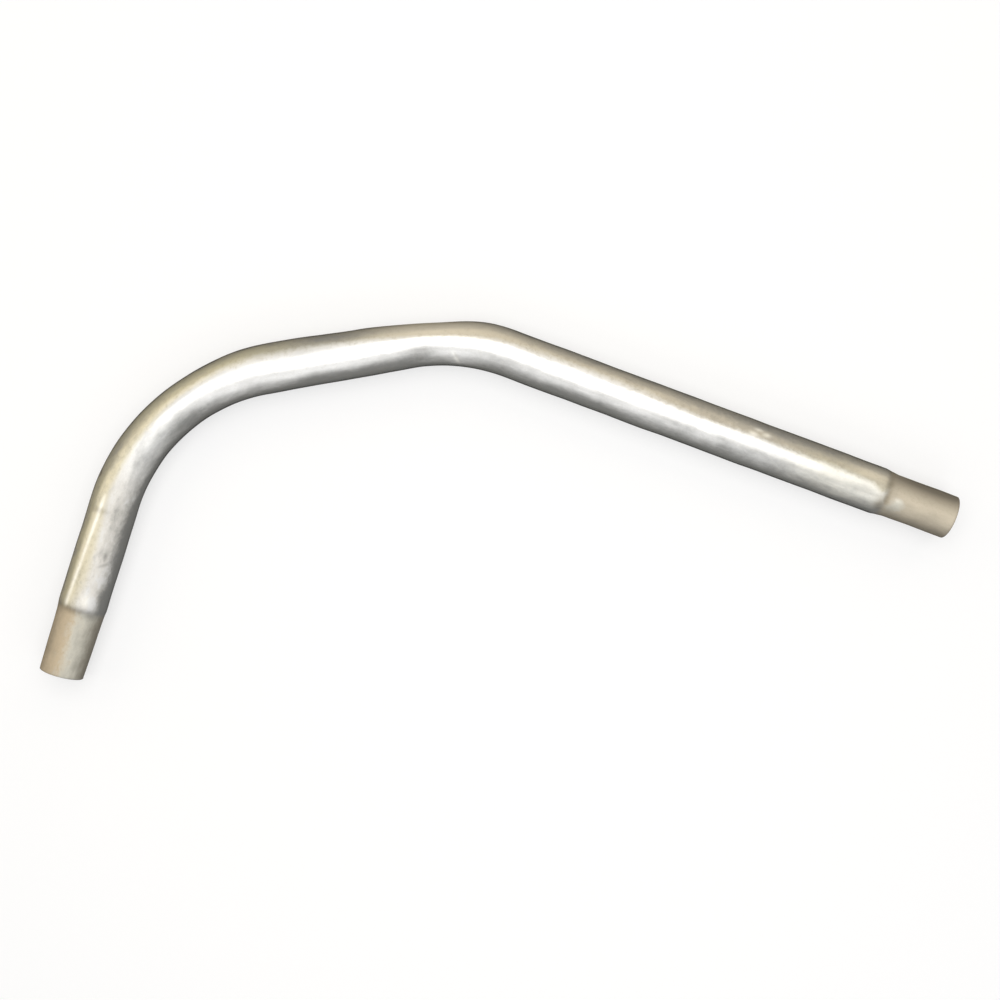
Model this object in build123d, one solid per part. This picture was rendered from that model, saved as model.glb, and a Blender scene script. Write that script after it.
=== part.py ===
"""Curved leg: one galvanised steel tube, bent twice in one plane and swaged down at both ends.

The leg lies flat. The long leg runs along +X, the short leg points down -Y, and +Z is up.
The origin is the bottom centre of the box around the leg. All sizes are in millimetres.
"""
from build123d import *
import math
import os

# Tube as it was drawn
tube_diameter = 38.1
wall_thickness = 1.4

# Long leg's swaged end: a parallel spigot that slips into the bore of a tube of the same size
long_leg_slip_gap = 0.15
long_leg_spigot_length = 50.5
long_leg_shoulder_length = 9.5

# Short leg's swaged end: a tapered spigot, loose in such a bore at its rim and wedged at its root
short_leg_rim_gap = 0.45
short_leg_root_wedge = 0.65
short_leg_spigot_length = 50.0
short_leg_shoulder_length = 6.0

# Both ends
shoulder_blend_radius = 12.0
rim_break = 0.3

# Centre line, from the rim of the short leg to the rim of the long leg
short_leg_length = 144.0
first_bend_angle = 62.5
middle_run_length = 118.0
second_bend_angle = 30.5
long_leg_length = 375.0
bend_radius = 152.4

# Bending marks on the outer side of the tube: how far it is pulled in or pushed out of round
first_bend_flattening = 1.2
clamp_swelling = 2.0
second_bend_flattening = 4.0

# Where those marks lie, as shares of the length of the bend or the run that they are on
first_bend_flattest_share = 0.62
middle_run_swollen_share = 0.11
middle_run_round_share = 0.68
second_bend_flattest_share = 0.25
second_bend_round_share = 0.80

# Distance between the sections that the bent stretch is drawn through
section_spacing = 8.0
# How far the bore's cutting body runs out of each rim
bore_overrun = 2.0

tube_radius = tube_diameter / 2
bore_radius = tube_radius - wall_thickness
long_leg_spigot_radius = bore_radius - long_leg_slip_gap
short_leg_rim_radius = bore_radius - short_leg_rim_gap
short_leg_root_radius = bore_radius + short_leg_root_wedge
first_bend_length = bend_radius * math.radians(first_bend_angle)
second_bend_length = bend_radius * math.radians(second_bend_angle)
first_bend_start = short_leg_length
first_bend_end = first_bend_start + first_bend_length
second_bend_start = first_bend_end + middle_run_length
second_bend_end = second_bend_start + second_bend_length
developed_length = second_bend_end + long_leg_length

# Length and turn of each stretch of the centre line
stretches = [
    (short_leg_length, 0.0),
    (first_bend_length, first_bend_angle),
    (middle_run_length, 0.0),
    (second_bend_length, second_bend_angle),
    (long_leg_length, 0.0),
]

# How far the outer side stands out of round (+) or in (-), at distances along the centre line
outer_side_levels = [
    (first_bend_start, 0.0),
    (first_bend_start + first_bend_flattest_share * first_bend_length, -first_bend_flattening),
    (first_bend_end + middle_run_swollen_share * middle_run_length, clamp_swelling),
    (first_bend_end + middle_run_round_share * middle_run_length, 0.0),
    (second_bend_start + second_bend_flattest_share * second_bend_length, -second_bend_flattening),
    (second_bend_start + second_bend_round_share * second_bend_length, 0.0),
    (second_bend_end, 0.0),
]


def station(distance):
    """Plane across the tube at a distance along the centre line.

    Its Z points along the tube, its X to the outer side of the bends and its Y up. A bend is
    passed over by its chord, which points half the turn aside.
    """
    x = 0.0
    y = 0.0
    heading = first_bend_angle + second_bend_angle
    left = distance
    for length, turn in stretches:
        walked = min(left, length)
        turned = turn * walked / length
        chord = walked
        if turn > 0:
            chord = 2 * bend_radius * math.sin(math.radians(turned / 2))
        aim = math.radians(heading - turned / 2)
        x += chord * math.cos(aim)
        y += chord * math.sin(aim)
        heading -= turned
        left -= walked
    facing = math.radians(heading)
    outward = (-math.sin(facing), math.cos(facing), 0)
    forward = (math.cos(facing), math.sin(facing), 0)
    return Plane(origin=(x, y, 0), x_dir=outward, z_dir=forward)


def outer_side_shift(distance):
    """The outer side's level at a distance, eased from one named level to the next."""
    for (start, start_level), (end, end_level) in zip(outer_side_levels, outer_side_levels[1:]):
        if start <= distance <= end:
            share = (distance - start) / (end - start)
            eased = share * share * (3 - 2 * share)
            return start_level + (end_level - start_level) * eased
    return 0.0


def tube_section(distance, inset):
    """Outline of the bent tube: a half circle inside the bend, a half ellipse outside it."""
    plane = station(distance)
    radius = tube_radius - inset
    outer_reach = radius + outer_side_shift(distance)
    outer_half = Edge.make_ellipse(outer_reach, radius, plane, -90, 90)
    inner_half = Edge.make_ellipse(radius, radius, plane, 90, 270)
    return Wire([outer_half, inner_half])


def bent_stretch(inset):
    """Solid rod through both bends and the middle run, set in from the tube's skin.

    It is drawn through sections span by span, and the spans meet where the curvature of the
    centre line or the easing of the outer side changes, so each span is one smooth surface.
    """
    joints = sorted({first_bend_end, second_bend_start} | {level[0] for level in outer_side_levels})
    rods = []
    for start, end in zip(joints, joints[1:]):
        count = max(3, math.ceil((end - start) / section_spacing))
        distances = [start + (end - start) * step / count for step in range(count + 1)]
        rods.append(Solid.make_loft([tube_section(distance, inset) for distance in distances]))
    return Part() + rods


def swaged_end(inset, rim_radius, root_radius, spigot_length, shoulder_length, length):
    """Straight rod along Z, set in from the skin: spigot from the rim at Z = 0, shoulder, full tube."""
    outline = Polyline(
        (0, 0, 0),
        (rim_radius - inset, 0, 0),
        (root_radius - inset, 0, spigot_length),
        (tube_radius - inset, 0, spigot_length + shoulder_length),
        (tube_radius - inset, 0, length),
        (0, 0, length),
        close=True,
    )
    profile = make_face(outline)
    corners = profile.vertices().filter_by(lambda corner: corner.X > 0)
    shoulder_corners = corners.filter_by(lambda corner: 0 < corner.Z < length)
    return revolve(fillet(shoulder_corners, shoulder_blend_radius), Axis.Z)


def rod(inset, finish_rim):
    """The whole leg as a solid rod: both straight ends, each with its rim finished, and the bends."""
    short_leg = swaged_end(
        inset,
        short_leg_rim_radius,
        short_leg_root_radius,
        short_leg_spigot_length,
        short_leg_shoulder_length,
        short_leg_length,
    )
    long_leg = swaged_end(
        inset,
        long_leg_spigot_radius,
        long_leg_spigot_radius,
        long_leg_spigot_length,
        long_leg_shoulder_length,
        long_leg_length,
    )
    short_leg_rim = station(0)
    long_leg_rim = station(developed_length)
    long_leg_rim_facing_back = Plane(long_leg_rim.origin, long_leg_rim.x_dir, -long_leg_rim.z_dir)
    ends = short_leg_rim * finish_rim(short_leg) + long_leg_rim_facing_back * finish_rim(long_leg)
    return bent_stretch(inset) + ends


def broken_rim(end):
    """The sharp outer edge of a sawn rim taken off."""
    rim = end.edges().filter_by(GeomType.CIRCLE).sort_by(Axis.Z)[0]
    return fillet(rim, rim_break)


def open_rim(end):
    """A bore's end run out past the rim, so that the bore opens it cleanly."""
    mouth = end.faces().sort_by(Axis.Z)[0]
    return end + extrude(mouth, bore_overrun)


def curved_leg():
    """The tube: the outer rod bored through and set down on Z = 0."""
    skin = rod(0, broken_rim)
    bore = rod(wall_thickness, open_rim)
    tube = skin - bore
    box = tube.bounding_box()
    return Pos(-box.center().X, -box.center().Y, -box.min.Z) * tube


if __name__ == "__main__":
    os.makedirs("parts", exist_ok=True)
    leg = curved_leg()
    export_step(leg, "parts/curved_leg.step")
    print("solids", len(leg.solids()), "volume", leg.volume, "box", leg.bounding_box())
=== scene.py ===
"""Curved leg: the look of a galvanised steel tube, bent twice in one plane and swaged at both ends.

All lengths are in metres, in the part's own frame: the leg lies on Z = 0, its long leg runs along
+X and its short leg points down -Y. Distances run along the centre line from the short leg's rim.
Angles go round the tube from its outer side, which faces away from the middle of the bends, over
its top at a quarter turn to its inner side at a half turn.
"""
import math
from typing import NamedTuple

import bpy
import numpy as np
from bpy.props import FloatProperty, FloatVectorProperty, PointerProperty
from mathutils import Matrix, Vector


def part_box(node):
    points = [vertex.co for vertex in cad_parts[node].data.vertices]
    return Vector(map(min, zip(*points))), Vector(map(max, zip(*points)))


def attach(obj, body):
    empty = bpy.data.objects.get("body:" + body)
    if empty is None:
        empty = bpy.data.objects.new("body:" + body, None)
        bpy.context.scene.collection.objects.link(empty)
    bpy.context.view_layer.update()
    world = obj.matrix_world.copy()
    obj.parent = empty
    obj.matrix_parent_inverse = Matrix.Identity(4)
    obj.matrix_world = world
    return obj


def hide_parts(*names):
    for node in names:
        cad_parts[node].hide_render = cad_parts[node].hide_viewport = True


bl_info = {
    "name": "Curved Leg",
    "version": (1, 0, 0),
    "blender": (4, 5, 0),
    "location": "3D Viewport > Sidebar > Curved Leg",
    "description": "Makes a bent and swaged galvanised tube and a plain stage around it",
    "category": "Object",
}

NODE = "curved_leg"
BODY = "root"

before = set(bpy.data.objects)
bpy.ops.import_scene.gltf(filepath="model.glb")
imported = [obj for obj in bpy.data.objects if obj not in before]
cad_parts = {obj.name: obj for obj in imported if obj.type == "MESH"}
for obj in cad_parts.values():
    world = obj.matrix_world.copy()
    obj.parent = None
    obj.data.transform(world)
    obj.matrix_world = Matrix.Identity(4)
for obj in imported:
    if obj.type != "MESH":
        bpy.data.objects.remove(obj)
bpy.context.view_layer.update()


def length_property(name, description, default):
    """A length that a user can change."""
    return FloatProperty(name=name, description=description, default=default, unit="LENGTH")


def colour_property(name, description, default):
    """A colour that a user can change, each of its numbers between 0 and 1."""
    return FloatVectorProperty(
        name=name,
        description=description,
        default=default,
        subtype="COLOR",
        min=0.0,
        max=1.0,
    )


class TubeSizes(bpy.types.PropertyGroup):
    """Sizes of the tube, as they are in the part."""

    tube_diameter: length_property("Tube diameter", "Outside diameter of the round tube", 0.0381)
    wall_thickness: length_property("Wall", "Thickness of the tube's wall", 0.0014)
    long_leg_slip_gap: length_property(
        "Long leg's slip gap",
        "Gap all round between the long leg's spigot and the bore of a tube of the same size",
        0.00015,
    )
    long_leg_spigot_length: length_property(
        "Long leg's spigot",
        "Length of the parallel swaged end of the long leg",
        0.0505,
    )
    long_leg_shoulder_length: length_property(
        "Long leg's shoulder",
        "Length of the slope from the long leg's spigot up to the full tube",
        0.0095,
    )
    short_leg_rim_gap: length_property(
        "Short leg's rim gap",
        "Gap all round between the short leg's rim and the bore of a tube of the same size",
        0.00045,
    )
    short_leg_root_wedge: length_property(
        "Short leg's root wedge",
        "How far the root of the short leg's tapered spigot is too large for that bore",
        0.00065,
    )
    short_leg_spigot_length: length_property(
        "Short leg's spigot",
        "Length of the tapered swaged end of the short leg",
        0.050,
    )
    short_leg_shoulder_length: length_property(
        "Short leg's shoulder",
        "Length of the slope from the short leg's spigot up to the full tube",
        0.006,
    )
    shoulder_blend_radius: length_property(
        "Shoulder blend",
        "Radius of the rounded corners at both ends of a shoulder",
        0.012,
    )
    rim_break: length_property("Rim break", "Radius of the rounded outer edge of each rim", 0.0003)
    short_leg_length: length_property(
        "Short leg",
        "Length of the straight short leg with its spigot",
        0.144,
    )
    first_bend_angle: FloatProperty(
        name="First bend",
        description="How far the tube turns in the bend next to the short leg",
        default=math.radians(62.5),
        subtype="ANGLE",
    )
    middle_run_length: length_property(
        "Middle run",
        "Length of the straight run between the bends",
        0.118,
    )
    second_bend_angle: FloatProperty(
        name="Second bend",
        description="How far the tube turns in the bend next to the long leg",
        default=math.radians(30.5),
        subtype="ANGLE",
    )
    long_leg_length: length_property(
        "Long leg",
        "Length of the straight long leg with its spigot",
        0.375,
    )
    bend_radius: length_property("Bend radius", "Radius of the centre line in both bends", 0.1524)
    first_bend_flattening: length_property(
        "Flattening at the first bend",
        "How far the outer side is pulled in where the first bend is flattest",
        0.0012,
    )
    clamp_swelling: length_property(
        "Swelling at the clamp",
        "How far the outer side stands out where the bender's clamp held the middle run",
        0.0020,
    )
    second_bend_flattening: length_property(
        "Flattening at the second bend",
        "How far the outer side is pulled in where the second bend is flattest",
        0.0040,
    )
    unevenness: length_property(
        "Unevenness",
        "Height of the slow waves that drawing and bending left in the skin",
        0.00010,
    )


class FinishColours(bpy.types.PropertyGroup):
    """Colours of the zinc, of its painted warm tint, and of the painted shade and highlights on it."""

    # The next two are lit and shaded copies of one zinc: the top is painted lighter and the sides painted
    # darker, as painted highlight and painted shade
    lit_zinc: colour_property(
        "Bright zinc",
        "Clean zinc along the top of the tube",
        (0.62, 0.615, 0.6),
    )
    shaded_zinc: colour_property("Dull zinc", "Dull zinc low on the sides of the tube", (0.21, 0.21, 0.2))
    worn_zinc: colour_property("Worn zinc", "Scuffed zinc of the short leg", (0.60, 0.58, 0.54))
    aged_zinc: colour_property(
        "Aged zinc",
        "Faintly green zinc near the long leg's spigot",
        (0.605, 0.59, 0.53),
    )
    # The tan, straw and pale tints are painted warm reflection on the outer side, standing for the warm
    # light reflected there
    tan_warm_tint: colour_property(
        "Tan film",
        "Thin tan film along the outer side of the tube",
        (0.39, 0.355, 0.285),
    )
    straw_warm_tint: colour_property(
        "Straw film",
        "Yellower film on the outer side of the short leg and of the first bend",
        (0.395, 0.362, 0.256),
    )
    # The cream tint is a painted highlight where the warm tint meets the top of the tube
    cream_warm_tint: colour_property(
        "Cream film",
        "Thin cream film where the straw film runs out towards the top of the tube",
        (0.63, 0.58, 0.435),
    )
    pale_warm_tint: colour_property(
        "Pale film",
        "Paler film where the second bend begins",
        (0.46, 0.42, 0.34),
    )
    # The dark tint is painted shade low on the outer side
    dark_warm_tint: colour_property(
        "Dark film",
        "Olive film low on the outer side of the tube",
        (0.235, 0.226, 0.203),
    )
    swaged_tan: colour_property(
        "Swaged tan",
        "Matt tan on the outer side of the swaged ends",
        (0.52, 0.43, 0.305),
    )
    swaged_grey: colour_property(
        "Swaged grey",
        "Matt grey on the inner side of the swaged ends",
        (0.63, 0.61, 0.53),
    )
    swaged_shade: colour_property(
        "Swaged shade",
        "Darker skin low on the sides of the swaged ends",
        (0.19, 0.17, 0.135),
    )
    # This brown is painted shade in the grooves, creases, dents and at the rims, and also the zinc's random
    # dark speckle
    shade_and_speckle: colour_property(
        "Grime",
        "Brownish dirt in creases and in the groove below the top of each shoulder",
        (0.2, 0.17, 0.12),
    )
    # Pale metal of the rub marks; the streak along the short leg and the glints on the bend ding and the
    # spigot spot are painted highlights in this colour
    rubbed_and_glinting_metal: colour_property(
        "Rubbed metal",
        "Pale metal where the skin was rubbed, and on the sawn rims",
        (0.96, 0.94, 0.86),
    )


class StageSettings(bpy.types.PropertyGroup):
    """Floor and light."""

    floor_colour: colour_property("Floor", "Colour of the floor", (0.40, 0.40, 0.40))
    overhead_radiance: FloatProperty(
        name="Overhead light",
        description="Brightness of the softbox over the leg, where 1 is white",
        default=2.1,
    )
    outer_side_radiance: FloatProperty(
        name="Outer side light",
        description="Brightness of the warm panels on the outer side of the bends, where 1 is white",
        default=0.9,
    )
    inner_side_radiance: FloatProperty(
        name="Inner side light",
        description="Brightness of the neutral panels on the inner side of the bends, where 1 is white",
        default=0.9,
    )
    ambient: FloatProperty(
        name="Ambient light",
        description="Brightness of the grey light from all round, where 1 is white",
        default=0.18,
    )


class Mark(NamedTuple):
    """A dent (-) or a raised spot (+) on the skin.

    It has its middle, its half lengths along and around the tube and its height. A slanted mark
    runs along the tube by its slant for every metre around it. Its painted shade says how far it is
    painted darker, as shade in its crease or dent, and its rub how far it is painted brighter, as
    worn metal and, on the bend ding and the spigot spot, as a painted glint.
    """

    distance: float
    angle: float
    half_length: float
    half_width: float
    height: float
    slant: float = 0.0
    painted_shade: float = 0.0
    rub: float = 0.0


# Marks that show on the tube, with angles in degrees
# A mark's painted shade darkens its crease or dent where shade falls; the rub of the bend ding and of the
# spigot spot is a painted glint
CREASE = Mark(0.1350, 76.0, 0.0025, 0.0085, -0.00004, painted_shade=0.34)
EDGE_NICK = Mark(0.1605, 31.0, 0.0018, 0.0019, -0.00080, painted_shade=1.00)
LONG_WRINKLE = Mark(0.0942, 124.0, 0.0015, 0.0042, -0.00012, 0.55, painted_shade=0.50)
SHORT_WRINKLE = Mark(0.1014, 122.0, 0.0034, 0.0016, -0.00014, -0.15, painted_shade=0.85)
FAINT_WRINKLE = Mark(0.0765, 112.0, 0.0009, 0.0026, -0.00005, -0.90, painted_shade=0.12)
BEND_NOTCH = Mark(0.4400, 112.0, 0.0080, 0.0050, -0.00006, 0.25)
BEND_DING = Mark(0.4673, 137.0, 0.0019, 0.0055, -0.00032, 0.45, rub=0.36)
SCUFF = Mark(0.0630, 107.0, 0.0050, 0.0034, 0.00004, rub=0.32)
BLISTER = Mark(0.7222, 64.0, 0.0032, 0.0019, 0.00006, -0.30, rub=0.30)
SMALL_BLISTER = Mark(0.7150, 57.0, 0.0036, 0.0016, 0.00005, -0.30, rub=0.26)
RUB = Mark(0.7115, 72.0, 0.0036, 0.0018, 0.00003, rub=0.40)
SPIGOT_SPOT = Mark(0.8368, 103.0, 0.0032, 0.0018, 0.00005, rub=0.28)
SPIGOT_NICK = Mark(0.0375, 190.0, 0.0012, 0.0016, -0.00025, rub=0.45)
# The two shoulder shades are painted shadow on the inner side of each shoulder, over a slight dent
SHORT_SHOULDER_SHADE = Mark(0.0530, 132.0, 0.0034, 0.0085, -0.00003, painted_shade=0.70)
LONG_SHOULDER_SHADE = Mark(0.8248, 136.0, 0.0048, 0.0085, -0.00005, painted_shade=1.00)
MARKS = (
    CREASE,
    EDGE_NICK,
    LONG_WRINKLE,
    SHORT_WRINKLE,
    FAINT_WRINKLE,
    BEND_NOTCH,
    BEND_DING,
    SCUFF,
    BLISTER,
    SMALL_BLISTER,
    RUB,
    SPIGOT_SPOT,
    SPIGOT_NICK,
    SHORT_SHOULDER_SHADE,
    LONG_SHOULDER_SHADE,
)


class Patch(NamedTuple):
    """A soft-edged patch of the finish: its middle, half lengths, strength, and slant as a mark's."""

    distance: float
    angle: float
    half_length: float
    half_width: float
    strength: float
    slant: float = 0.0


# Where the painted shade on the zinc reaches higher (+) or the zinc is painted brighter (-), between the top
# and the inner side; they set the edges of the painted shade and highlight, with some uneven tone
SHADE_PATCHES = (
    Patch(0.095, 121.0, 0.055, 0.010, -1.2),
    Patch(0.066, 106.0, 0.008, 0.005, -1.2),
    Patch(0.190, 151.0, 0.050, 0.006, -1.1),
    Patch(0.205, 125.0, 0.050, 0.008, 0.3),
    Patch(0.200, 97.0, 0.050, 0.004, 0.9),
    Patch(0.235, 135.0, 0.030, 0.007, 0.5),
    Patch(0.270, 142.0, 0.040, 0.010, -0.6),
    Patch(0.370, 109.0, 0.050, 0.005, -0.6),
    Patch(0.4390, 112.0, 0.0100, 0.0055, 1.0),
    Patch(0.475, 128.0, 0.032, 0.012, -0.9),
    Patch(0.740, 114.0, 0.110, 0.007, 0.80),
    Patch(0.812, 104.0, 0.014, 0.004, 0.3),
    Patch(0.800, 131.0, 0.020, 0.006, -0.3),
    Patch(0.069, 147.0, 0.012, 0.007, 0.7),
    Patch(0.100, 142.0, 0.006, 0.004, 0.7),
    Patch(0.117, 148.0, 0.018, 0.006, 0.6),
    Patch(0.122, 114.0, 0.020, 0.004, 1.0),
    Patch(0.104, 110.0, 0.005, 0.003, 0.8),
    Patch(0.241, 134.0, 0.026, 0.007, 0.8),
    Patch(0.365, 143.0, 0.035, 0.006, 0.7),
    Patch(0.420, 134.0, 0.026, 0.008, 1.0),
    Patch(0.465, 159.0, 0.040, 0.005, -0.4),
    Patch(0.490, 116.0, 0.040, 0.005, 0.5),
    Patch(0.505, 140.0, 0.030, 0.006, 0.6),
    Patch(0.575, 142.0, 0.030, 0.006, 0.8),
)
# Where the warm tint, a painted warm reflection, reaches farther up the outer side (+) or less far (-)
WARM_TINT_PATCHES = (
    Patch(0.095, 88.0, 0.045, 0.012, 2.3),
    Patch(0.190, 76.0, 0.050, 0.010, 1.9),
    Patch(0.355, 69.0, 0.050, 0.008, -1.0),
    Patch(0.450, 58.0, 0.040, 0.008, 0.6),
    Patch(0.470, 67.0, 0.045, 0.006, 1.1),
    Patch(0.720, 70.0, 0.110, 0.006, 1.0),
    Patch(0.790, 80.0, 0.025, 0.006, 0.3),
    Patch(0.8215, 90.0, 0.006, 0.010, 2.0),
)
# Where the warm tint on the outer side is painted darker, as painted shade; these also darken the swaged
# ends
DARK_WARM_TINT_PATCHES = (
    Patch(0.180, 38.0, 0.022, 0.012, 0.5),
    Patch(0.215, 60.0, 0.055, 0.008, 0.35),
    Patch(0.072, 80.0, 0.018, 0.008, 0.14),
    Patch(0.370, 37.0, 0.045, 0.010, 1.0),
    Patch(0.550, 28.0, 0.035, 0.008, 0.6),
    Patch(0.740, 35.0, 0.105, 0.014, 0.95),
    Patch(0.870, 31.0, 0.050, 0.014, 1.15),
)
# Where the warm tint on the outer side is paler
PALE_WARM_TINT_PATCHES = (
    Patch(0.442, 42.0, 0.036, 0.018, 1.0),
    Patch(0.812, 62.0, 0.018, 0.008, 0.7),
)
# Where the swaged ends are greyer
GREY_PATCHES = (
    Patch(0.8370, 112.0, 0.009, 0.009, 1.1),
)

# The patches by the mesh attribute that holds them
PATCHES = {
    "shade_patch": SHADE_PATCHES,
    "warm_tint_patch": WARM_TINT_PATCHES,
    "dark_warm_tint_patch": DARK_WARM_TINT_PATCHES,
    "pale_warm_tint_patch": PALE_WARM_TINT_PATCHES,
    "grey_patch": GREY_PATCHES,
}

# The streak of rubbing along the short leg, painted brighter as a warm highlight: the distance it
# starts from, how far off to the outer side it starts as a share of the radius, how it slants in
# towards the middle, and its half width
STREAK_FROM = 0.056
STREAK_START = 0.44
STREAK_SLANT = 0.047
STREAK_HALF_WIDTH = 0.0016
# The distances over which it comes in and runs out, and the height over which it comes in
STREAK_COMES_IN = (0.054, 0.059)
STREAK_RUNS_OUT = (0.140, 0.152)
STREAK_HEIGHT = (0.0, 0.004)


class Pattern(NamedTuple):
    """An uneven pattern: how long and how wide its features are, its detail and its roughness."""

    length: float
    width: float
    detail: float
    roughness: float = 0.5


# Patterns of the zinc and of its warm tint
CLOUDS = Pattern(0.034, 0.014, 3.0, 0.55)
DRIFTS = Pattern(0.075, 0.020, 2.0)
STREAKS = Pattern(0.040, 0.0016, 4.0, 0.6)
BLOTCHES = Pattern(0.013, 0.007, 5.0, 0.62)
MOTTLE = Pattern(0.0034, 0.0028, 3.0, 0.6)
GRAIN = Pattern(0.0012, 0.0009, 2.0)

# Distances over which one finish gives way to the next
SCUFFED_RUNS_OUT = (0.135, 0.20)
STRAW_RUNS_OUT = (0.30, 0.47)
LONG_LEG_COMES_IN = (0.50, 0.60)
AGED_COMES_IN = (0.72, 0.78)

# Heights, as shares of the radius, over which the painted shade low on the sides gives way towards the top,
# and over which the cream highlight comes in
ZINC_BRIGHTENS = (0.40, 1.08)
WARM_TINT_BRIGHTENS = (0.30, 0.88)
CREAM_COMES_IN = (0.88, 1.00)
SWAGED_BRIGHTENS = (0.14, 1.08)

# Shares of the radius to the outer side over which the warm tint, the swaged tan and the brown of the
# painted shade come in
WARM_TINT_COMES_IN = (0.12, 0.62)
TAN_COMES_IN = (-0.48, 0.24)
BROWN_COMES_IN = (-0.4, 0.2)

# Roughness of the clean zinc and of the swaged ends, and how metallic the clean zinc is
ZINC_ROUGHNESS = 0.32
SWAGED_ROUGHNESS = 0.56
ZINC_METALLIC = 0.80
# Fine relief of the skin, and the tint of its reflections at a grazing angle
BUMP_STRENGTH = 0.6
BUMP_HEIGHT = 0.00025
GRAZING_TINT = (0.05, 0.05, 0.045)

# Edges of the mesh that turn by more than this are shaded sharp
SHARP_EDGE = math.radians(40)

# Length over which the finish of a swaged end gives way to that of the full tube
SWAGED_FADE = 0.006
# How far painted shade reaches in from a rim, and how strong it is there
RIM_SHADE_REACH = 0.0009
RIM_SHADE = 0.55

# The camera looks straight down, rolled so that the long leg runs down to the right. Its lens and
# sensor are in millimetres.
CAMERA_PLACE = (-0.01714, 0.06070, 1.05798)
CAMERA_ROLL = math.radians(20.405)
LENS = 46.8
SENSOR_WIDTH = 36.0

# The floor's side, the white that is added to it where it is seen, and the distances from the
# leg over which it turns plain white
FLOOR_SIDE = 12.0
FLOOR_LIFT = 0.6
FLOOR_TURNS_WHITE = (0.6, 1.6)
WHITE = (1.0, 1.0, 1.0, 1.0)

# Colours of the lamps
NEARLY_WHITE = (1.0, 0.99, 0.98)
WARM = (1.0, 0.91, 0.75)
COOL = (0.97, 0.98, 1.0)


class Lamp(NamedTuple):
    """A rectangular lamp: where it hangs, what it faces, its size and the setting for its brightness."""

    name: str
    place: tuple
    aim: tuple
    width: float
    height: float
    colour: tuple
    brightness: str


LAMPS = (
    Lamp("overhead", (-0.08, 0.20, 1.30), (-0.08, 0.20, 0.0), 1.33, 1.40, NEARLY_WHITE, "overhead_radiance"),
    Lamp("behind", (0.0, 1.15, 0.62), (0.0, 0.10, 0.0), 1.8, 0.9, WARM, "outer_side_radiance"),
    Lamp("left", (-1.25, 0.1, 0.62), (-0.1, 0.0, 0.0), 1.8, 0.9, WARM, "outer_side_radiance"),
    Lamp("front", (0.2, -0.95, 0.80), (0.1, 0.1, 0.0), 1.8, 0.7, COOL, "inner_side_radiance"),
    Lamp("right", (0.9, -0.3, 0.80), (-0.1, 0.0, 0.0), 1.2, 0.7, COOL, "inner_side_radiance"),
)


class SwagedEnd(NamedTuple):
    """A swaged end: the radii of its spigot at the rim and at the root, and the two lengths."""

    rim_radius: float
    root_radius: float
    spigot: float
    shoulder: float

    @property
    def reach(self):
        """Distance from the rim to the full tube."""
        return self.spigot + self.shoulder


def rounded_ramp(x, blend):
    """Zero below the corner and x above it, joined by a parabola from -blend to blend."""
    rounded = (x + blend) ** 2 / (4 * blend)
    return np.where(x < -blend, 0.0, np.where(x > blend, x, rounded))


def bell(x):
    """One at x = 0, falling off as e to minus x squared."""
    return np.exp(-(x**2))


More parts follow.
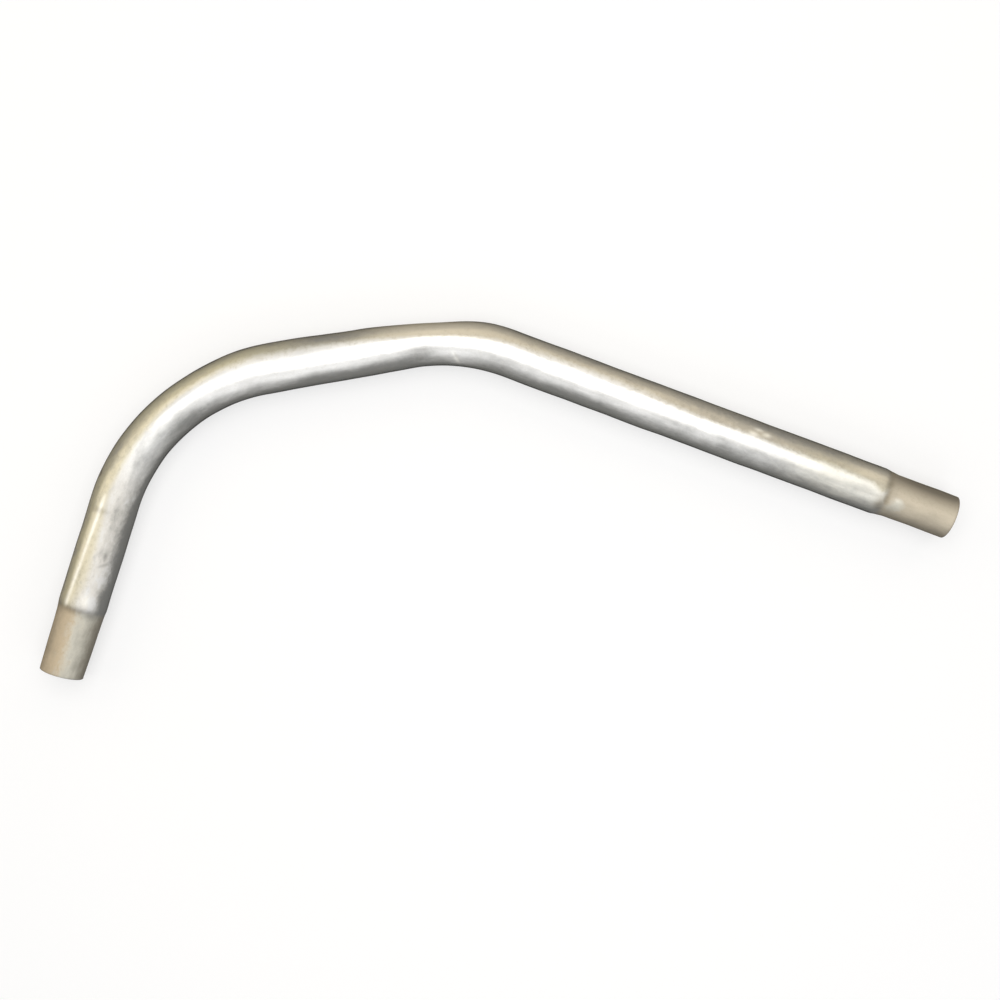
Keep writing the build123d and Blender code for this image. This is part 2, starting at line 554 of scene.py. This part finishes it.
class Leg:
    """The tube's shape, worked out for whole arrays of distances and angles at once."""

    # Where the bending marks lie, as shares of the bend or the run that they are on
    first_bend_flattest_share = 0.62
    middle_run_swollen_share = 0.11
    middle_run_round_share = 0.68
    second_bend_flattest_share = 0.25
    second_bend_round_share = 0.80

    # Rings of the mesh and points in a ring
    points_around = 128
    open_spacing = 0.0025
    close_spacing = 0.0005
    close_reach = 0.0045
    bore_spacing = 0.006
    rim_edge_turns = (30.0, 60.0, 90.0)
    rim_face_rings = 3
    summing_steps = 20001

    # The groove that the swaging die left in a shoulder: how far below the top of the shoulder it
    # lies as a share of the shoulder's length, its half width and its depth
    groove_share = 0.27
    groove_half_width = 0.0030
    groove_depth = 0.00022

    # How far from a rim the relief comes in
    relief_run_in = 0.001

    # Slow waves in the skin
    wave_count = 14
    shortest_wave = 0.022
    longest_wave = 0.12
    most_turns_round = 3
    wave_seed = 7

    def __init__(self, sizes):
        self.radius = sizes.tube_diameter / 2
        self.wall = sizes.wall_thickness
        self.rim_break = sizes.rim_break
        self.bend_radius = sizes.bend_radius
        self.blend_radius = sizes.shoulder_blend_radius
        self.unevenness = sizes.unevenness
        bore = self.radius - self.wall
        self.short_end = SwagedEnd(
            bore - sizes.short_leg_rim_gap,
            bore + sizes.short_leg_root_wedge,
            sizes.short_leg_spigot_length,
            sizes.short_leg_shoulder_length,
        )
        self.long_end = SwagedEnd(
            bore - sizes.long_leg_slip_gap,
            bore - sizes.long_leg_slip_gap,
            sizes.long_leg_spigot_length,
            sizes.long_leg_shoulder_length,
        )

        first_bend = self.bend_radius * sizes.first_bend_angle
        second_bend = self.bend_radius * sizes.second_bend_angle
        self.stretches = (
            (sizes.short_leg_length, 0.0),
            (first_bend, sizes.first_bend_angle),
            (sizes.middle_run_length, 0.0),
            (second_bend, sizes.second_bend_angle),
            (sizes.long_leg_length, 0.0),
        )
        self.length = sum(length for length, turn in self.stretches)
        first_start = sizes.short_leg_length
        first_end = first_start + first_bend
        second_start = first_end + sizes.middle_run_length
        second_end = second_start + second_bend
        run = sizes.middle_run_length
        self.levels = (
            (first_start, 0.0),
            (first_start + self.first_bend_flattest_share * first_bend, -sizes.first_bend_flattening),
            (first_end + self.middle_run_swollen_share * run, sizes.clamp_swelling),
            (first_end + self.middle_run_round_share * run, 0.0),
            (second_start + self.second_bend_flattest_share * second_bend, -sizes.second_bend_flattening),
            (second_start + self.second_bend_round_share * second_bend, 0.0),
            (second_end, 0.0),
        )

    def centre_line(self, distance):
        """Points of the centre line, and the directions from them to the outer side.

        Each stretch adds the chord of what is walked of it, and the chord points half of its turn
        aside. The chord of an arc is twice the radius times the sine of half the turn.
        """
        x = np.zeros_like(distance)
        y = np.zeros_like(distance)
        heading = np.full_like(distance, sum(turn for length, turn in self.stretches))
        left = distance.copy()
        for length, turn in self.stretches:
            walked = np.clip(left, 0.0, length)
            turned = turn * walked / length
            chord = 2 * self.bend_radius * np.sin(turned / 2) if turn else walked
            x += chord * np.cos(heading - turned / 2)
            y += chord * np.sin(heading - turned / 2)
            heading -= turned
            left -= walked
        return np.stack([x, y], axis=-1), np.stack([-np.sin(heading), np.cos(heading)], axis=-1)

    def from_rim(self, distance):
        """Distance to the nearer rim."""
        return np.minimum(distance, self.length - distance)

    def end_radius(self, end, from_rim):
        """Radius over one end: the spigot's slope, the shoulder's slope and the full tube.

        Each corner between two slopes is rounded, and the rounding reaches as far to both sides as
        the blend radius times the tangent of half of the corner's turn.
        """
        spigot_slope = (end.root_radius - end.rim_radius) / end.spigot
        shoulder_slope = (self.radius - end.root_radius) / end.shoulder
        foot_turn = math.atan(shoulder_slope) - math.atan(spigot_slope)
        top_turn = math.atan(shoulder_slope)
        foot = rounded_ramp(from_rim - end.spigot, self.blend_radius * math.tan(foot_turn / 2))
        top = rounded_ramp(from_rim - end.reach, self.blend_radius * math.tan(top_turn / 2))
        spigot = end.rim_radius + spigot_slope * from_rim
        return spigot + (shoulder_slope - spigot_slope) * foot - shoulder_slope * top

    def skin_radius(self, distance):
        """Radius of the tube's skin, taken from the nearer end."""
        short = self.end_radius(self.short_end, distance)
        long = self.end_radius(self.long_end, self.length - distance)
        return np.where(distance < self.length / 2, short, long)

    def past_groove(self, distance):
        """How far a distance lies past the nearer groove, towards the middle of the tube."""
        short_groove = self.short_end.reach - self.groove_share * self.short_end.shoulder
        long_groove = self.long_end.reach - self.groove_share * self.long_end.shoulder
        return np.minimum(distance - short_groove, self.length - distance - long_groove)

    def outer_side_shift(self, distance):
        """How far the outer side is out of round, eased from one level to the next.

        The easing is the share of the way squared, times three less twice that share.
        """
        places = np.array([place for place, level in self.levels])
        levels = np.array([level for place, level in self.levels])
        span = np.clip(np.searchsorted(places, distance) - 1, 0, len(places) - 2)
        share = np.clip((distance - places[span]) / (places[span + 1] - places[span]), 0.0, 1.0)
        eased = share**2 * (3 - 2 * share)
        return levels[span] + (levels[span + 1] - levels[span]) * eased

    def mark_shape(self, mark, distance, angle):
        """A mark's own shape, 1 at its middle: a bell along the tube times a bell around it."""
        around = np.angle(np.exp(1j * (angle - math.radians(mark.angle)))) * self.radius
        along = distance - mark.distance - mark.slant * around
        return bell(along / mark.half_length) * bell(around / mark.half_width)

    def relief(self, distance, angle):
        """How far the skin stands above or below its true surface.

        The slow waves are cosines of the distance plus whole turns of the angle. Each groove is a
        bell around its own place. Each mark adds its height times its own shape.
        """
        random = np.random.default_rng(self.wave_seed)
        waves = np.zeros(np.broadcast_shapes(distance.shape, angle.shape))
        for _ in range(self.wave_count):
            wave_length = random.uniform(self.shortest_wave, self.longest_wave)
            turns = random.integers(-self.most_turns_round, self.most_turns_round + 1)
            phase = random.uniform(0, 2 * math.pi)
            waves += np.cos(2 * math.pi * distance / wave_length + turns * angle + phase)
        height = waves * self.unevenness / math.sqrt(self.wave_count)
        height -= self.groove_depth * bell(self.past_groove(distance) / self.groove_half_width)
        for mark in MARKS:
            height += mark.height * self.mark_shape(mark, distance, angle)
        return height

    def skin_distances(self):
        """Distances of the skin's rings, close together at the shoulders and marks.

        The wanted number of rings a metre is summed along the leg, and a ring stands wherever
        that sum passes one more equal share of the whole.
        """
        details = [mark.distance for mark in MARKS]
        details += [0.0, self.short_end.spigot, self.short_end.reach]
        details += [self.length, self.length - self.long_end.spigot, self.length - self.long_end.reach]
        fine = np.linspace(self.rim_break, self.length - self.rim_break, self.summing_steps)
        nearness = np.max([bell((fine - place) / self.close_reach) for place in details], axis=0)
        wanted = 1 / self.open_spacing + nearness * (1 / self.close_spacing - 1 / self.open_spacing)
        summed = np.concatenate([[0.0], np.cumsum((wanted[1:] + wanted[:-1]) / 2 * np.diff(fine))])
        return np.interp(np.linspace(0.0, summed[-1], math.ceil(summed[-1])), summed, fine)

    def rings(self):
        """Distance, radius and share of the relief of every ring round the wall's closed outline.

        The outline runs up the skin, over the long leg's rim, back down the bore and over the short
        leg's rim. Each rim is a quarter circle at its outer edge and a flat face down to the bore.
        """
        skin = self.skin_distances()
        bore = np.linspace(self.length, 0.0, math.ceil(self.length / self.bore_spacing))
        long_depth, long_radius = self.rim(self.long_end)
        short_depth, short_radius = self.rim(self.short_end)
        bore_radius = self.skin_radius(bore) - self.wall
        distance = np.concatenate([skin, self.length - long_depth, bore, short_depth[::-1]])
        radius = np.concatenate([self.skin_radius(skin), long_radius, bore_radius, short_radius[::-1]])
        run_in = (self.from_rim(skin) - self.rim_break) / self.relief_run_in
        relief_share = np.zeros_like(distance)
        relief_share[: len(skin)] = np.clip(run_in, 0.0, 1.0)
        return distance, radius, relief_share

    def rim(self, end):
        """Depths and radii over a rim, from the end of its broken edge across its face to the bore."""
        turn = np.radians(self.rim_edge_turns)
        edge_radius = end.rim_radius - self.rim_break * (1 - np.cos(turn))
        edge_depth = self.rim_break * (1 - np.sin(turn))
        face_ends = (edge_radius[-1], end.rim_radius - self.wall)
        face_radius = np.linspace(*face_ends, self.rim_face_rings + 2)[1:-1]
        depth = np.concatenate([edge_depth, np.zeros_like(face_radius)])
        return depth, np.concatenate([edge_radius, face_radius])

    def place(self, distance, radius, relief_share):
        """Points of the rings, and the same points on the straightened tube.

        A ring's point stands out from the centre line by its radius and relief times the cosine of
        the angle, and up by their product with the sine. On its outer half the level of the outer
        side, times the cosine, is added.
        """
        angle = np.arange(self.points_around) * 2 * math.pi / self.points_around
        centre, outward = self.centre_line(distance)
        relief = relief_share[:, None] * self.relief(distance[:, None], angle[None, :])
        reach = radius[:, None] + relief
        across = reach * np.cos(angle)
        up = reach * np.sin(angle)
        out_of_round = self.outer_side_shift(distance)[:, None] * np.clip(np.cos(angle), 0.0, None)
        flat = centre[:, None, :] + outward[:, None, :] * (across + out_of_round)[:, :, None]
        along = np.broadcast_to(distance[:, None], up.shape)
        points = np.concatenate([flat, up[:, :, None]], axis=-1)
        return points, np.stack([along, across, up], axis=-1)

    def strongest(self, quality, distance, angle):
        """Strongest painted shade, or strongest rub, of the marks at each point, each times its mark's own
        shape.
        """
        levels = [getattr(mark, quality) * self.mark_shape(mark, distance, angle) for mark in MARKS]
        return np.max(levels, axis=0)

    def patches(self, patches, distance, angle):
        """Strengths of some patches, each times its own shape, added up at each point."""
        return sum(patch.strength * self.mark_shape(patch, distance, angle) for patch in patches)


def tube_mesh(leg, lowest, highest):
    """The whole wall as one closed mesh, with the attributes that its finish reads.

    It is set where the part lies: the middle of its smooth shape's box over the middle of the
    part's box, and its centre line one radius above the part's lowest point.
    """
    distance, radius, relief_share = leg.rings()
    smooth, _ = leg.place(distance, radius, np.zeros_like(relief_share))
    points, straightened = leg.place(distance, radius, relief_share)
    smooth_middle = (smooth.min(axis=(0, 1)) + smooth.max(axis=(0, 1))) / 2
    move = np.array((lowest + highest) / 2) - smooth_middle
    move[2] = lowest.z + leg.radius
    points = points + move

    ring_count, points_around = points.shape[:2]
    ring = np.arange(ring_count)[:, None]
    step = np.arange(points_around)[None, :]
    next_ring = (ring + 1) % ring_count
    next_step = (step + 1) % points_around
    corners = [
        ring * points_around + step,
        ring * points_around + next_step,
        next_ring * points_around + next_step,
        next_ring * points_around + step,
    ]
    faces = np.stack(corners, axis=-1).reshape(-1, 4)
    mesh = bpy.data.meshes.new("curved_leg_tube")
    mesh.from_pydata(points.reshape(-1, 3), [], faces)
    mesh.polygons.foreach_set("use_smooth", np.ones(len(faces), dtype=bool))
    mesh.set_sharp_from_angle(angle=SHARP_EDGE)

    angle = np.arange(points_around) * 2 * math.pi / points_around
    ones = np.ones((1, points_around))
    past_groove = leg.past_groove(distance)[:, None] * ones
    outside = (relief_share > 0)[:, None]
    masks = {
        "swaged": np.clip(0.5 - past_groove / SWAGED_FADE, 0.0, 1.0),
        "groove": outside * bell(past_groove / leg.groove_half_width),
        # Painted shade of the marks, and painted shade along the edge of each rim
        "shade_and_speckle": np.maximum(
            outside * leg.strongest("painted_shade", distance[:, None], angle[None, :]),
            RIM_SHADE * bell(leg.from_rim(distance) / RIM_SHADE_REACH)[:, None] * ones,
        ),
        "rubbed_and_glinting": outside * leg.strongest("rub", distance[:, None], angle[None, :]),
    }
    for name, patches in PATCHES.items():
        masks[name] = leg.patches(patches, distance[:, None], angle[None, :])
    place = mesh.attributes.new("straightened", "FLOAT_VECTOR", "POINT")
    place.data.foreach_set("vector", straightened.ravel())
    for name, values in masks.items():
        attribute = mesh.attributes.new(name, "FLOAT", "POINT")
        attribute.data.foreach_set("value", values.ravel())
    mesh.validate()
    return mesh


class Signal:
    """A node's output. Arithmetic on signals and numbers adds Math nodes."""

    def __init__(self, shading, socket):
        self.shading = shading
        self.socket = socket

    def maths(self, operation, *values):
        """A Math node on some values, each a signal or a number."""
        return self.shading.signal("ShaderNodeMath", {"operation": operation}, dict(enumerate(values)))

    def __add__(self, other):
        return self.maths("ADD", self, other)

    def __radd__(self, other):
        return self.maths("ADD", other, self)

    def __sub__(self, other):
        return self.maths("SUBTRACT", self, other)

    def __rsub__(self, other):
        return self.maths("SUBTRACT", other, self)

    def __mul__(self, other):
        return self.maths("MULTIPLY", self, other)

    def __truediv__(self, other):
        return self.maths("DIVIDE", self, other)

    def larger(self, other):
        """The larger of this and another value."""
        return self.maths("MAXIMUM", self, other)

    def bell(self):
        """One where this is 0, falling off as e to minus its square."""
        return self.maths("EXPONENT", self * self * -1)

    def rise(self, low, high):
        """Zero below low and one above high, eased between them."""
        ends = {"Value": self, "From Min": low, "From Max": high}
        return self.shading.signal("ShaderNodeMapRange", {"interpolation_type": "SMOOTHSTEP"}, ends)


class Shading:
    """A node tree being put together."""

    # Outputs that are taken by number
    mixed_colour = 2
    object_place = 3
    vector_length = 1

    def __init__(self, owner):
        owner.use_nodes = True
        self.tree = owner.node_tree
        self.tree.nodes.clear()

    def add(self, kind, settings=None, sockets=None):
        """A node of a kind. Its settings are set first, then each socket gets its value or link."""
        node = self.tree.nodes.new(kind)
        for name, value in (settings or {}).items():
            setattr(node, name, value)
        for name, value in (sockets or {}).items():
            if isinstance(value, Signal):
                self.tree.links.new(value.socket, node.inputs[name])
            else:
                node.inputs[name].default_value = value
        return node

    def signal(self, kind, settings=None, sockets=None, output=0):
        """One output of a new node."""
        return Signal(self, self.add(kind, settings, sockets).outputs[output])

    def attribute(self, name, output="Fac"):
        """A mesh attribute, as a number or as its Vector or Color."""
        settings = {"attribute_name": name, "attribute_type": "GEOMETRY"}
        return self.signal("ShaderNodeAttribute", settings, output=output)

    def mix(self, factor, first, second):
        """A colour between two others."""
        sockets = {0: factor, 6: first, 7: second}
        return self.signal("ShaderNodeMix", {"data_type": "RGBA"}, sockets, self.mixed_colour)

    def noise(self, place, pattern):
        """A pattern's noise, which wavers around 0."""
        scale = (1 / pattern.length, 1 / pattern.width, 1 / pattern.width)
        scaled = self.signal("ShaderNodeVectorMath", {"operation": "MULTIPLY"}, {0: place, 1: scale})
        sockets = {"Vector": scaled, "Scale": 1.0, "Detail": pattern.detail, "Roughness": pattern.roughness}
        return self.signal("ShaderNodeTexNoise", {"noise_dimensions": "3D"}, sockets) - 0.5

    def seen(self):
        """One for camera, glossy and transmission rays, which show the background, and else zero."""
        path = self.add("ShaderNodeLightPath")
        camera, glossy, transmission = (
            Signal(self, path.outputs[name])
            for name in ("Is Camera Ray", "Is Glossy Ray", "Is Transmission Ray")
        )
        return camera.larger(glossy).larger(transmission)


def opaque(colour):
    """A colour property as the four numbers that a colour socket takes."""
    return (*colour, 1.0)


class Skin:
    """What the parts of the finish read: where a point lies, and its patterns and attributes.

    The uneven height is the height as a share of the radius, plus a share of each larger pattern.
    """

    def __init__(self, shading, leg):
        place = shading.attribute("straightened", "Vector")
        parts = shading.add("ShaderNodeSeparateXYZ", sockets={"Vector": place})
        self.along, self.across, self.up = (Signal(shading, output) for output in parts.outputs)
        self.outer_share = self.across / leg.radius
        self.height_share = self.up / leg.radius

        self.clouds = shading.noise(place, CLOUDS)
        self.drifts = shading.noise(place, DRIFTS)
        self.streaks = shading.noise(place, STREAKS)
        self.blotches = shading.noise(place, BLOTCHES)
        self.mottle = shading.noise(place, MOTTLE)
        self.grain = shading.noise(place, GRAIN)

        self.scuffed = 1 - self.along.rise(*SCUFFED_RUNS_OUT)
        self.aged = self.along.rise(*AGED_COMES_IN)
        self.long_leg = self.along.rise(*LONG_LEG_COMES_IN)
        self.swaged = (shading.attribute("swaged") + self.blotches * 0.8).rise(0.2, 0.8)

        spots = self.blotches * 0.35 + self.mottle * 0.16
        unevenness = self.clouds * 0.35 + self.streaks * 0.08 + spots * (1 + self.scuffed)
        self.uneven_height = self.height_share + unevenness
        self.dark_warm_tint_patch = shading.attribute("dark_warm_tint_patch")


def zinc_skin(shading, skin, colours):
    """Colour of the bare zinc, and how dull and how shaded it is.

    The shade is one less the rise of the uneven height, so the zinc is painted light along the top
    and painted dark low on the sides, as painted shade; the same share makes it rougher and less
    metallic. Scuffed zinc is also darker and duller where its patchiness is below zero.
    """
    shade_patch = shading.attribute("shade_patch")
    clean = shading.mix(skin.scuffed, opaque(colours.lit_zinc), opaque(colours.worn_zinc))
    clean = shading.mix(skin.aged, clean, opaque(colours.aged_zinc))
    patchiness = skin.blotches + skin.clouds * 0.7 + skin.mottle * 0.2 - shade_patch * 0.10
    patchiness = patchiness * skin.scuffed
    clean = shading.mix(patchiness.rise(-0.02, 0.20), clean, opaque(colours.lit_zinc))
    shade_and_dullness = 1 - (skin.uneven_height - shade_patch * 0.22).rise(*ZINC_BRIGHTENS)
    shade_and_dullness = shade_and_dullness.larger((0 - patchiness).rise(0.01, 0.25) * 0.55)
    return shading.mix(shade_and_dullness, clean, opaque(colours.shaded_zinc)), shade_and_dullness


def warm_tint_over(shading, skin, colours, zinc):
    """The zinc under a warm tint on the tube's outer side, painted to stand for warm reflected light.

    The tint comes in with the share of the radius to the outer side, plus an uneven border. It is
    tan, yellower near the short leg, cream towards the top as a painted highlight, and darker low on
    the side as painted shade.
    """
    warm_tint_patch = shading.attribute("warm_tint_patch")
    pale_patch = shading.attribute("pale_warm_tint_patch")
    dark_patch = skin.dark_warm_tint_patch
    straw = 1 - skin.along.rise(*STRAW_RUNS_OUT)
    cream = straw * (skin.height_share + skin.scuffed * 0.10).rise(*CREAM_COMES_IN)
    darkness = 1 - (skin.uneven_height + skin.blotches * 0.3).rise(*WARM_TINT_BRIGHTENS)
    darkness = darkness.larger(dark_patch + skin.blotches + skin.mottle * 0.5)
    colour = shading.mix(straw + skin.aged * 0.7, opaque(colours.tan_warm_tint), opaque(colours.straw_warm_tint))
    colour = shading.mix(cream, colour, opaque(colours.cream_warm_tint))
    colour = shading.mix(darkness, colour, opaque(colours.dark_warm_tint))
    colour = shading.mix(pale_patch, colour, opaque(colours.pale_warm_tint))
    border = skin.drifts * 0.4 + skin.blotches * 0.3 + skin.mottle * 0.3
    reach = warm_tint_patch * 0.20 + pale_patch * 0.25 + dark_patch * 0.12
    warm_tint = (skin.outer_share + border + reach).rise(*WARM_TINT_COMES_IN)
    return shading.mix(warm_tint, zinc, colour)


def swaged_skin(shading, skin, colours):
    """Colour of the swaged ends: tan on the outer side and grey on the inner side.

    Darkness is one less the rise of the uneven height, so they are darker low down.
    """
    tan_edge = skin.outer_share + skin.blotches * 1.2 + skin.mottle * 0.5
    tan_edge = tan_edge + skin.long_leg - shading.attribute("grey_patch")
    tan_share = tan_edge.rise(*TAN_COMES_IN) * (1 - skin.long_leg * 0.4)
    colour = shading.mix(tan_share, opaque(colours.swaged_grey), opaque(colours.swaged_tan))
    lean = skin.outer_share * (1 - skin.long_leg) * 0.06 - skin.long_leg * 0.07
    darkness = (1 - (skin.uneven_height + lean).rise(*SWAGED_BRIGHTENS)) * 0.85
    darkness = darkness.larger(skin.dark_warm_tint_patch * 0.8)
    return shading.mix(darkness, colour, opaque(colours.swaged_shade))


def rubbed_and_glinting_share(shading, skin, leg):
    """How much of the skin is painted bright: the larger of a streak of rubbing, painted as a highlight, and
    of the rub marks, a few of them painted glints.

    The streak is a bell across its own middle line, times how far it has come in at both ends,
    times two patterns that break it up.
    """
    middle = leg.radius * STREAK_START - (skin.along - STREAK_FROM) * STREAK_SLANT
    body = ((skin.across - middle) / STREAK_HALF_WIDTH).bell() * skin.up.rise(*STREAK_HEIGHT)
    ends = skin.along.rise(*STREAK_COMES_IN) * (1 - skin.along.rise(*STREAK_RUNS_OUT))
    spotted = 0.70 + skin.blotches.rise(-0.10, 0.10) * 0.30
    broken = 0.70 + skin.drifts.rise(-0.12, 0.04) * 0.30
    spots = shading.attribute("rubbed_and_glinting") * (1 + skin.mottle * 2)
    return (body * ends * spotted * broken).larger(spots)


def galvanised_finish(leg, colours):
    """Satin zinc, painted light on top and dark low on the sides, with a warm tint painted on its
    outer side as a reflection, matt swaged ends, rub marks with painted highlights, and painted
    shade in creases, dents, grooves and along the rims.
    """
    material = bpy.data.materials.new("galvanised_zinc")
    shading = Shading(material)
    skin = Skin(shading, leg)
    zinc, shade_and_dullness = zinc_skin(shading, skin, colours)
    warm_tinted = warm_tint_over(shading, skin, colours, zinc)
    base = shading.mix(skin.swaged, warm_tinted, swaged_skin(shading, skin, colours))
    rubbed_and_glinting = rubbed_and_glinting_share(shading, skin, leg)
    # The streak and a few rub marks are painted highlights laid on in this pale colour
    base = shading.mix(rubbed_and_glinting, base, opaque(colours.rubbed_and_glinting_metal))

    # Painted shade in the shoulder grooves, in the marks' creases and dents, on the inner side of each
    # shoulder and at the rims
    painted_shade = (shading.attribute("groove") * 0.66).larger(shading.attribute("shade_and_speckle"))
    painted_shade = painted_shade * (0.65 + skin.blotches.rise(-0.15, 0.15) * 0.35)
    brown_share = (skin.outer_share + skin.long_leg * 0.6).rise(*BROWN_COMES_IN)
    painted_shade_colour = shading.mix(brown_share, opaque(colours.shaded_zinc), opaque(colours.shade_and_speckle))
    base = shading.mix(painted_shade, base, painted_shade_colour)
    # A random dark speckle of the zinc's own tone
    speckle = (skin.mottle + skin.grain * 0.5).rise(-0.02, 0.22)
    base = shading.mix(speckle * 0.12, base, opaque(colours.shade_and_speckle))

    roughness = ZINC_ROUGHNESS + shade_and_dullness * 0.10 + skin.streaks * 0.04
    roughness = roughness + skin.blotches * 0.10 + skin.scuffed * 0.25
    roughness = roughness * (1 - skin.swaged) + skin.swaged * SWAGED_ROUGHNESS
    roughness = roughness - rubbed_and_glinting * 0.10 + painted_shade * 0.25
    metallic = ZINC_METALLIC - shade_and_dullness * 0.15 - skin.scuffed * 0.35
    metallic = metallic * (1 - skin.swaged * 0.55) * (1 - painted_shade * 0.6)

    height = skin.blotches + skin.mottle * 0.7 + skin.streaks * 0.2 + skin.grain * 0.15
    bump = {"Strength": BUMP_STRENGTH, "Distance": BUMP_HEIGHT, "Height": height}
    surface = shading.signal(
        "ShaderNodeBsdfPrincipled",
        sockets={
            "Base Color": base,
            "Metallic": metallic,
            "Roughness": roughness,
            "Specular Tint": opaque(GRAZING_TINT),
            "Specular IOR Level": 0.0,
            "Normal": shading.signal("ShaderNodeBump", sockets=bump),
        },
    )
    shading.add("ShaderNodeOutputMaterial", sockets={"Surface": surface})
    return material


def floor_finish(settings):
    """A plain pale floor. Where it is seen or reflected it is lifted to white, and keeps its shadow.

    Far from the leg, where the lamps don't reach, it is plain white.
    """
    material = bpy.data.materials.new("plain_floor")
    shading = Shading(material)
    matt = shading.signal("ShaderNodeBsdfDiffuse", sockets={"Color": opaque(settings.floor_colour)})
    glow = shading.signal("ShaderNodeEmission", sockets={"Strength": FLOOR_LIFT})
    lifted = shading.signal("ShaderNodeAddShader", sockets={0: matt, 1: glow})
    white = shading.signal("ShaderNodeEmission", sockets={"Strength": 1.0})
    place = shading.signal("ShaderNodeTexCoord", output=shading.object_place)
    length = {"operation": "LENGTH"}
    distance = shading.signal("ShaderNodeVectorMath", length, {0: place}, shading.vector_length)
    far = distance.rise(*FLOOR_TURNS_WHITE)
    background = shading.signal("ShaderNodeMixShader", sockets={0: far, 1: lifted, 2: white})
    surface = shading.signal("ShaderNodeMixShader", sockets={0: shading.seen(), 1: matt, 2: background})
    shading.add("ShaderNodeOutputMaterial", sockets={"Surface": surface})
    return material


def surroundings(settings):
    """A world that is white where it is seen or reflected and a plain grey light elsewhere."""
    world = bpy.data.worlds.new("plain_surroundings")
    shading = Shading(world)
    seen = shading.seen()
    strength = seen + (1 - seen) * settings.ambient
    background = shading.signal("ShaderNodeBackground", sockets={"Strength": strength, "Color": WHITE})
    shading.add("ShaderNodeOutputWorld", sockets={"Surface": background})
    return world


def panel_lamp(lamp, radiance):
    """A rectangular lamp that faces its aim, and whose face is as bright as its radiance."""
    light = bpy.data.lights.new(lamp.name, "AREA")
    light.shape = "RECTANGLE"
    light.size = lamp.width
    light.size_y = lamp.height
    light.energy = radiance * math.pi * lamp.width * lamp.height
    light.color = lamp.colour
    panel = bpy.data.objects.new(lamp.name, light)
    panel.location = lamp.place
    panel.rotation_euler = (Vector(lamp.aim) - Vector(lamp.place)).to_track_quat("-Z", "Y").to_euler()
    panel.visible_camera = False
    bpy.context.collection.objects.link(panel)


class CURVED_LEG_OT_make_tube(bpy.types.Operator):
    """Make the bent and swaged tube with its galvanised finish"""

    bl_idname = "curved_leg.make_tube"
    bl_label = "Make Tube"

    def execute(self, context):
        scene = context.scene
        leg = Leg(scene.curved_leg_sizes)
        mesh = tube_mesh(leg, *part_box(NODE))
        mesh.materials.append(galvanised_finish(leg, scene.curved_leg_colours))
        tube = bpy.data.objects.new("curved_leg_tube", mesh)
        context.collection.objects.link(tube)
        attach(tube, BODY)
        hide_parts(NODE)
        return {"FINISHED"}


class CURVED_LEG_OT_set_stage(bpy.types.Operator):
    """Set the floor, the lamps, the surroundings and the camera that looks down on the leg"""

    bl_idname = "curved_leg.set_stage"
    bl_label = "Set Stage"

    def execute(self, context):
        scene = context.scene
        settings = scene.curved_leg_stage
        reach = FLOOR_SIDE / 2
        mesh = bpy.data.meshes.new("floor")
        corners = np.array([(-reach, -reach, 0), (reach, -reach, 0), (reach, reach, 0), (-reach, reach, 0)])
        mesh.from_pydata(corners, [], [(0, 1, 2, 3)])
        mesh.materials.append(floor_finish(settings))
        floor = bpy.data.objects.new("floor", mesh)
        context.collection.objects.link(floor)
        scene.world = surroundings(settings)
        for lamp in LAMPS:
            panel_lamp(lamp, getattr(settings, lamp.brightness))

        camera = bpy.data.cameras.new("camera")
        camera.sensor_width = SENSOR_WIDTH
        camera.lens = LENS
        eye = bpy.data.objects.new("camera", camera)
        eye.location = CAMERA_PLACE
        eye.rotation_euler = (0.0, 0.0, CAMERA_ROLL)
        context.collection.objects.link(eye)
        scene.camera = eye
        scene.view_settings.view_transform = "Standard"
        return {"FINISHED"}


class CURVED_LEG_PT_sidebar(bpy.types.Panel):
    """Sizes, colours and light, and the two steps that make the leg and its stage"""

    bl_idname = "CURVED_LEG_PT_sidebar"
    bl_label = "Curved Leg"
    bl_space_type = "VIEW_3D"
    bl_region_type = "UI"
    bl_category = "Curved Leg"

    def draw(self, context):
        scene = context.scene
        for group in (scene.curved_leg_sizes, scene.curved_leg_colours, scene.curved_leg_stage):
            column = self.layout.column()
            for name in group.__annotations__:
                column.prop(group, name)
        self.layout.operator(CURVED_LEG_OT_make_tube.bl_idname)
        self.layout.operator(CURVED_LEG_OT_set_stage.bl_idname)


CLASSES = (
    TubeSizes,
    FinishColours,
    StageSettings,
    CURVED_LEG_OT_make_tube,
    CURVED_LEG_OT_set_stage,
    CURVED_LEG_PT_sidebar,
)


def register():
    """Register the classes and hang the property groups on the scene."""
    for cls in CLASSES:
        bpy.utils.register_class(cls)
    bpy.types.Scene.curved_leg_sizes = PointerProperty(type=TubeSizes)
    bpy.types.Scene.curved_leg_colours = PointerProperty(type=FinishColours)
    bpy.types.Scene.curved_leg_stage = PointerProperty(type=StageSettings)


def unregister():
    """Take the property groups off the scene and unregister the classes."""
    del bpy.types.Scene.curved_leg_stage
    del bpy.types.Scene.curved_leg_colours
    del bpy.types.Scene.curved_leg_sizes
    for cls in reversed(CLASSES):
        bpy.utils.unregister_class(cls)


def main():
    """Make the tube and the stage."""
    register()
    bpy.ops.curved_leg.make_tube()
    bpy.ops.curved_leg.set_stage()


if __name__ == "__main__":
    main()
